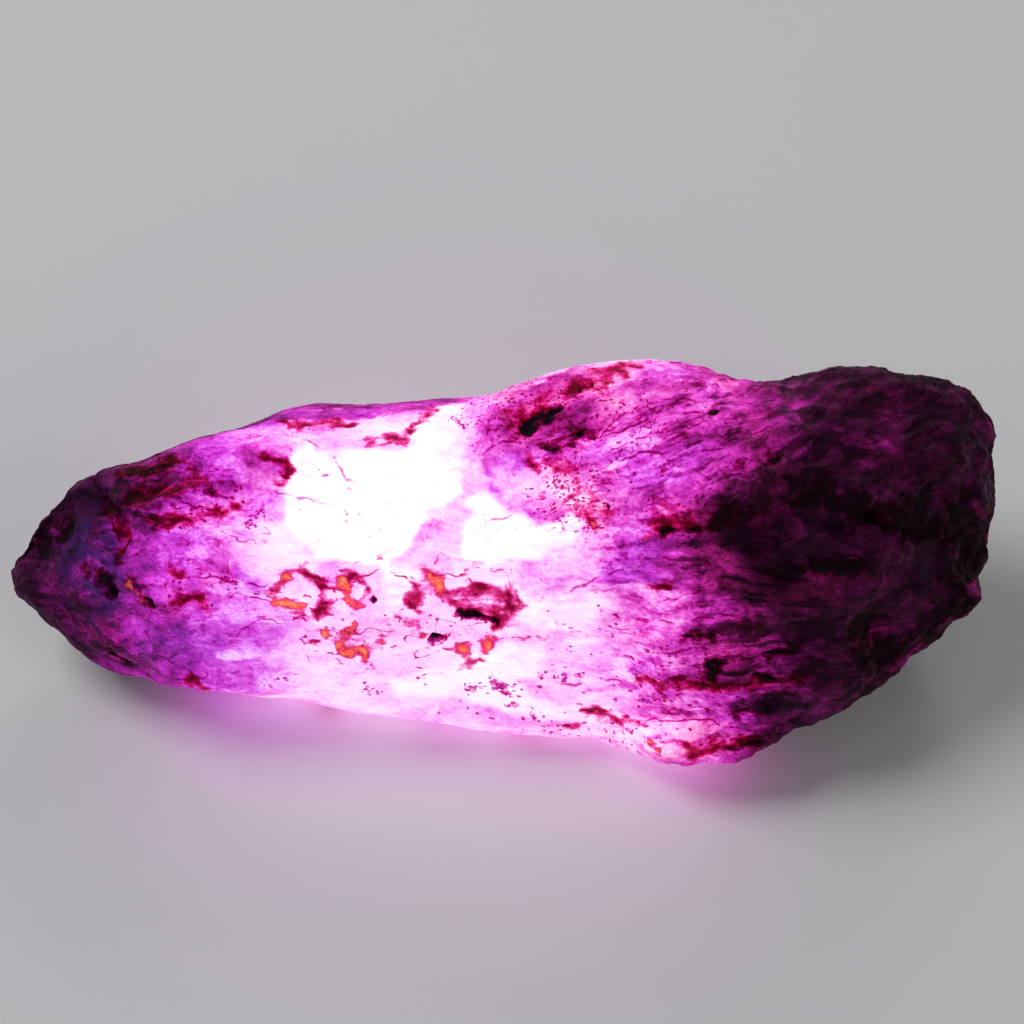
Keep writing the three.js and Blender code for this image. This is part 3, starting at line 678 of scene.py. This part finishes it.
# %% Rust between the lines
rust = np.maximum(rust, -0.30 - 0.15 * (1 - right_half) - 0.7 * (1 - soft_step(depth, 0.05, 0.40)))
for strength, outline in STAINS:
    soaked = (strength + 0.7) * inside(outline, edge=0.5) - 0.8
    rust = np.maximum(rust, np.where(on_front > 0, soaked, NOT_HERE))
print("share of the surface that is rusty:", round(float((rust > 0).mean()), 3))

# %% [markdown]
# Grit is dark specks much smaller than the marks. They are too many to list, so what is listed
# is the areas that they lie in, each with its middle, its two radii and how many of the speck
# cells in it are filled.

# %% Grit
GRITTY = [
    ((2.2, 7.8), (5.5, 2.6), 0.80), ((3.9, 3.2), (3.6, 2.8), 0.80),
    ((10.0, 2.0), (4.5, 1.8), 0.60), ((7.0, 7.0), (6.0, 3.4), 0.26),
    ((11.5, -6.5), (8.5, 3.8), 0.50), ((6.0, -9.4), (7.0, 1.2), 0.50),
    ((-17.0, 3.0), (5.0, 2.6), 0.45), ((-15.5, -2.0), (4.5, 1.6), 0.40),
    ((-6.0, -3.0), (7.5, 2.6), 0.16), ((0.5, -7.6), (6.5, 1.6), 0.16),
    ((4.5, -4.0), (4.0, 3.0), 0.12), ((15.5, 4.4), (4.0, 2.0), 0.35),
]
CLEAN, ROUND_MARKS, BEHIND = 0.02, 0.6, 0.30
grit = np.full(len(places), CLEAN)
for centre, radii, share in GRITTY:
    grit = np.maximum(grit, share * soft_step(blot(centre, radii), 0, 0.6) * (on_front > 0))
grit = np.maximum(grit, ROUND_MARKS * soft_step(mark, -2.5, 0.0))
grit = np.maximum(grit, BEHIND * on_back)
print("mean grit:", round(float(grit.mean()), 3))

# %% [markdown]
# The pink isn't the same everywhere. Near rust and towards the blunt end it is warmer, and some
# areas are warmer or cooler by themselves. Each has its change, its middle and its two radii.

# %% Warmer and cooler areas
WARMER = [
    (-0.6, (0.8, 3.8), (2.6, 2.6)), (-0.5, (7.5, 5.2), (4.5, 2.2)),
    (-0.3, (7.5, -0.6), (3.5, 1.6)), (-0.5, (-19.5, 0.4), (4.0, 3.4)),
    (-0.4, (-14.5, -4.9), (6.0, 2.4)), (0.6, (3.0, 7.6), (5.0, 3.0)),
    (0.5, (4.0, 3.0), (3.0, 2.4)), (0.6, (8.0, -9.6), (6.0, 1.3)),
    (-0.5, (12.0, -7.6), (3.6, 1.2)),
]
warm = 0.8 * clouds_of(places / np.array((4.2, 2.6, 2.6)) + 1.9, 2) + 0.6 * soft_step(rust, -0.3, 0.3)
warm += 0.35 * right_half - 0.5 * (1 - soft_step(u, -14, -3)) - 0.1
for change, centre, radii in WARMER:
    warm += change * soft_step(blot(centre, radii), 0, 0.5) * (on_front > 0)
print("warmth:", warm.min().round(2), "to", warm.max().round(2))

# %% [markdown]
# Crimson threads make a fine web, which is thickest between the crusts. Its mask says where
# it is. Two areas near the pointed end have a violet tinge, which is partly a painted sheen.

# %% Where the threads and the violet tinge, partly painted sheen, are
web = soft_step(blot((-5.0, -2.9), (9.0, 3.6)), 0, 0.4) * (on_front > 0)
web += 0.8 * soft_step(blot((-17.0, 1.0), (6.0, 5.5)), 0, 0.4)
web += 0.5 * soft_step(blot((5.0, 5.0), (6.0, 5.0)), 0, 0.4)
web += 0.6 * (on_back > 0)
# The violet tinge is partly a painted sheen.
tinge_and_sheen = np.maximum(blot((-20.8, -0.6), (3.2, 3.6)), blot((-16.6, -4.6), (3.8, 1.8), -0.1))
print("share of the surface with a violet tinge:", round(float((tinge_and_sheen > 0).mean()), 3))

# %% [markdown]
# All of it is kept on the mesh as attributes, which the material reads. Three more clouds are
# kept for lines that wander, and so are the directions of the layers, as a vector.


# %% Attributes
def keep(name, values, kind="FLOAT"):
    layer = stone.data.attributes.new(name, kind, "POINT")
    layer.data.foreach_set("vector" if values.ndim == 2 else "value", values.astype(np.float32).ravel())


keep("depth", depth)
keep("black", black)
keep("rust", rust)
keep("amber", amber)
keep("grit", grit)
keep("warm", warm)
keep("streaky", 0.25 + 0.75 * soft_step(u, 1, 9) + 0.35 * left_end)
keep("crack", crack_side)
keep("violet", tinge_and_sheen)
keep("vein", clouds_of(along / np.array((4.6, 2.2, 3.0)) + 8.1, 3))
keep("web", web)
keep("thread", clouds_of(places / np.array((1.9, 1.3, 1.4)) + 6.6, 3))
keep("cross", clouds_of(places / np.array((2.2, 4.4, 3.0)) + 2.7, 3))
keep("along", along, "FLOAT_VECTOR")
print("attributes:", len(stone.data.attributes))

# %% [markdown]
# ## Writing a material as sums
#
# A material is a web of nodes, and most of them only add, multiply or compare. A small class
# that wraps a socket lets them be written as ordinary sums, and one method adds any other node.


# %% A socket that can be added to and multiplied
class Tint:
    """An output socket of one material's node tree."""

    def __init__(self, tree, socket):
        self.tree, self.socket = tree, socket

    def node(self, kind, settings=None, out=0, **values):
        made = self.tree.nodes.new(kind)
        for name, value in (settings or {}).items():
            if name == "stops":
                set_stops(made.color_ramp, value)
            else:
                setattr(made, name, value)
        for name, value in values.items():
            key = int(name[1:]) if name[1:].isdigit() else name.replace("_", " ")
            if isinstance(value, Tint):
                self.tree.links.new(value.socket, made.inputs[key])
            else:
                made.inputs[key].default_value = value
        return Tint(self.tree, made.outputs[out])

    def math(self, operation, *values):
        slots = {f"i{index}": value for index, value in enumerate(values)}
        return self.node("ShaderNodeMath", {"operation": operation}, **slots)

    def __add__(self, other):
        return self.math("ADD", self, other)

    def __sub__(self, other):
        return self.math("SUBTRACT", self, other)

    def __rsub__(self, other):
        return self.math("SUBTRACT", other, self)

    def __mul__(self, other):
        return self.math("MULTIPLY", self, other)

    __radd__, __rmul__ = __add__, __mul__

    def step(self, low, high):
        """0 below low, 1 above high and smooth between; with low above high it runs down."""
        return self.node(
            "ShaderNodeMapRange", {"interpolation_type": "SMOOTHSTEP"},
            Value=self, From_Min=low, From_Max=high,
        )

    def other(self, name):
        """Another output of the same node."""
        return Tint(self.tree, self.socket.node.outputs[name])

    def over(self, ground, colour, share, blend="MIX"):
        """colour laid over ground by share."""
        mixed = {"data_type": "RGBA", "blend_type": blend, "clamp_result": True}
        return self.node("ShaderNodeMix", mixed, out=2, Factor=share, i6=ground, i7=colour)


def set_stops(ramp, stops):
    while len(ramp.elements) < len(stops):
        ramp.elements.new(1.0)
    for element, (position, colour) in zip(ramp.elements, stops):
        element.position, element.color = position, (*colour, 1)


# %% [markdown]
# ## The stone's material
#
# One Principled surface. Its base colour is the ramp from nearly white to nearly black, read
# by the depth of colour, with its painted light, plus mottles and streaks; stains, crusts and
# crevices lie over that.
# Cloudy crystal passes light. Subsurface Scattering could show that, but only near the surface
# and not right through a stone. So where it is pale the stone gives off a little light in its
# own colour, which is how light that has come through it looks. Nothing here depends on where
# the camera is.

# %% Patterns
corundum = bpy.data.materials.new("corundum")
corundum.use_nodes = True
corundum.cycles.emission_sampling = "NONE"
tree = corundum.node_tree
tree.nodes.clear()
start = Tint(tree, None)
here = start.node("ShaderNodeTexCoord", out=3)
in_mm = start.node("ShaderNodeMapping", Vector=here, Scale=(1 / MM, 1 / MM, 1 / MM))
layers = start.node("ShaderNodeAttribute", {"attribute_name": "along"}, out=1)


def mask(name):
    return start.node("ShaderNodeAttribute", {"attribute_name": name}, out=2)


def resized(vector, size):
    return start.node("ShaderNodeMapping", Vector=vector, Scale=[1 / side for side in size])


def grain(vector, size, detail, roughness):
    """Noise round 0, with blots of about this size in millimetres."""
    sized = resized(vector, size)
    made = start.node("ShaderNodeTexNoise", Vector=sized, Scale=1.0, Detail=detail, Roughness=roughness)
    return made - 0.5


mottle = grain(in_mm, (1.2, 0.85, 0.85), detail=4.0, roughness=0.64)
fine = grain(in_mm, (0.20, 0.16, 0.16), detail=1.0, roughness=0.5)
streaks = grain(layers, (2.6, 0.40, 0.8), detail=3.0, roughness=0.55)
print("pattern nodes:", len(tree.nodes))

# %% [markdown]
# The crystal is made of grains, each a little darker or paler than the next: the cells of a
# Voronoi texture, drawn out along the layers. Specks are the middles of smaller cells, and a
# cell's own colour decides which of them are filled. Thin lines come from numbers that were
# kept on the mesh: where one of them passes through zero there is a line that wanders. They
# show most where the stone is coloured.


# %% Grains and specks
def cells_of(vector, size):
    """The distance to the middle of a Voronoi cell; its other output is the cell's colour."""
    return start.node("ShaderNodeTexVoronoi", Vector=resized(vector, size), Scale=1.0)


def first_channel(colour):
    return start.node("ShaderNodeSeparateColor", Color=colour)


shade = first_channel(cells_of(layers, (2.2, 1.0, 1.3)).other("Color")) - 0.5
cells = cells_of(layers, (0.32, 0.22, 0.26))
filled = (first_channel(cells.other("Color")) - 1 + mask("grit")).step(-0.02, 0.08)
specks = (cells + fine * 1.2 + mottle * 0.6).step(0.40, 0.22) * filled
print("pattern nodes:", len(tree.nodes))


# %% Thin lines, and how strongly each of them shows
def line_at(name, inner, outer):
    """1 where a kept number is nearer to 0 than inner, and 0 beyond outer."""
    value = mask(name)
    return value.math("ABSOLUTE", value).step(outer, inner)


coloured = mask("depth").step(0.0, 0.4)
cracks = line_at("crack", 0.02, 0.085) * mottle.step(-0.11, 0.03)
veins = line_at("vein", 0.006, 0.022) * streaks.step(-0.04, 0.05)
crossings = line_at("cross", 0.005, 0.018) * mottle.step(-0.02, 0.06)
threads = line_at("thread", 0.01, 0.06) * mask("web") * streaks.step(-0.05, 0.05)
lines = cracks.math("MAXIMUM", cracks * (0.45 + coloured * 0.45), veins * (0.08 + coloured * 0.45))
lines = lines.math("MAXIMUM", lines, crossings * coloured * 0.4)
lines = lines.math("MAXIMUM", lines, specks * (0.65 + coloured * 0.25))
print("pattern nodes:", len(tree.nodes))

# %% [markdown]
# Now the depth of colour, with its painted light, gets its mottles and streaks, and a ramp
# turns it into colour.
# Stains multiply what is under them, as a stain in a clear crystal does: the more rust there
# is, the further along its own ramp, from pink through crimson to nearly black.

# %% Ramps and tints
# The nearly white end of this ramp is painted light, and its dark end is partly painted shade.
CRYSTAL = [
    (0.00, (1.00, 0.92, 1.00)), (0.12, (0.98, 0.62, 0.95)), (0.25, (0.96, 0.34, 0.87)),
    (0.37, (0.90, 0.135, 0.74)), (0.50, (0.80, 0.045, 0.61)), (0.62, (0.56, 0.020, 0.38)),
    (0.74, (0.29, 0.009, 0.17)), (0.86, (0.11, 0.005, 0.062)), (1.00, (0.020, 0.002, 0.012)),
]
LINE_STAIN = [
    (0.00, (1.00, 1.00, 1.00)), (0.25, (0.94, 0.42, 0.82)), (0.60, (0.66, 0.065, 0.40)),
    (1.00, (0.32, 0.006, 0.12)),
]
RUST_STAIN = [
    (0.00, (1.00, 1.00, 1.00)), (0.18, (0.94, 0.44, 0.74)), (0.40, (0.80, 0.11, 0.38)),
    (0.66, (0.52, 0.018, 0.12)), (1.00, (0.20, 0.003, 0.030)),
]
CRUST = [
    (0.00, (0.50, 0.010, 0.090)), (0.28, (0.78, 0.040, 0.100)), (0.52, (0.93, 0.130, 0.085)),
    (0.76, (0.98, 0.340, 0.150)), (1.00, (1.00, 0.620, 0.340)),
]
# The violet colour is partly a painted sheen.
VIOLET_AND_SHEEN, INCLUSION, UNLIT = (0.26, 0.06, 0.60, 1), (0.004, 0.001, 0.003, 1), (0, 0, 0, 1)
WARM_TINT, COOL_TINT = (1.0, 0.92, 0.76, 1), (0.92, 0.98, 1.22, 1)


def ramp(stops, amount):
    return start.node("ShaderNodeValToRGB", {"stops": stops}, Fac=amount)


print("stops:", [len(stops) for stops in (CRYSTAL, LINE_STAIN, RUST_STAIN, CRUST)])

# %% Colour of the crystal
dark_streaks = streaks.step(0.06, 0.12) * 0.17 - streaks.step(-0.07, -0.14) * 0.08
calmer = 1.0 - mask("depth").step(0.5, 0.95) * 0.30
# This depth of colour carries the painted light of the white middle.
depth_and_light_here = (
    mask("depth") + mottle * calmer * (0.20 + coloured * 0.34) + shade * (0.05 + coloured * 0.10)
    + dark_streaks * mask("streaky") * calmer + fine * calmer * (0.08 + coloured * 0.20)
)
# Violet tinge, partly a painted sheen, mixed over the crystal's colour.
violet = (mask("violet") + mottle * 2.0).step(0.0, 0.9) * 0.25
colour = start.over(ramp(CRYSTAL, depth_and_light_here), VIOLET_AND_SHEEN, violet)
colour = start.over(colour, WARM_TINT, mask("warm").step(0.1, 0.9) * coloured, "MULTIPLY")
colour = start.over(colour, COOL_TINT, mask("warm").step(0.0, -0.8) * coloured, "MULTIPLY")
print("nodes:", len(tree.nodes))

# %% [markdown]
# The noises are added to the masks as well, so a stain's outline is as ragged as the stone.
# A black line is darkest in its middle and has a stained fringe. Rust gathers wherever the
# threads are near. A crust is crimson where it is thin, then orange, and pale in its middle.

# %% Stains, crusts and inclusions over it
rough_edge = mottle * 2.2 + streaks * 1.2 + fine * 0.8
black_amount = mask("black") + rough_edge * 0.9
near_thread = line_at("thread", 0.03, 0.30)
rust_amount = mask("rust") * 0.85 + mottle * 1.9 + streaks * 0.9 + fine * 0.5 + near_thread * 0.38 - 0.13
crusted = mask("amber")
crust_amount = crusted.math("MINIMUM", crusted, 1.0) * 0.50 + mottle * 1.7 + fine * 0.7 + 0.05
lines = lines.math("MAXIMUM", lines, black_amount.step(-0.10, 0.40))
rusty = rust_amount.math("MAXIMUM", rust_amount, threads * 0.75)
colour = start.over(colour, ramp(LINE_STAIN, lines), 1.0, "MULTIPLY")
colour = start.over(colour, ramp(RUST_STAIN, rusty), 1.0, "MULTIPLY")
colour = start.over(colour, ramp(CRUST, crust_amount), crust_amount.step(0.10, 0.42))
colour = start.over(colour, INCLUSION, black_amount.step(0.40, 0.75))
glow = start.over(UNLIT, colour, depth_and_light_here.step(1.0, 0.1))
print("nodes:", len(tree.nodes))

# %% [markdown]
# Last, the small bumps that are finer than the mesh, the roughness, and the surface itself.
# Numbers that are the same all over are set straight on the surface's own sockets.

# %% Surface
scratches = grain(layers, (0.9, 0.32, 0.45), detail=2.0, roughness=0.6)
bent = start.node("ShaderNodeBump", Height=scratches, Strength=0.6, Distance=0.14 * MM)
surface = start.node(
    "ShaderNodeBsdfPrincipled",
    Base_Color=colour, Roughness=0.62 + mottle * 0.6, Normal=bent,
    IOR=1.7, Specular_IOR_Level=0.09, Specular_Tint=(1.0, 0.35, 0.80, 1),
    Emission_Color=glow, Emission_Strength=0.66,
)
ending = tree.nodes.new("ShaderNodeOutputMaterial")
tree.links.new(surface.socket, ending.inputs["Surface"])
stone.data.materials.clear()
stone.data.materials.append(corundum)
print("nodes:", len(tree.nodes))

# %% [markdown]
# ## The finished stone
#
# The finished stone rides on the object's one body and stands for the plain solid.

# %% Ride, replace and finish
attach(stone, "root")
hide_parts("sapphire")
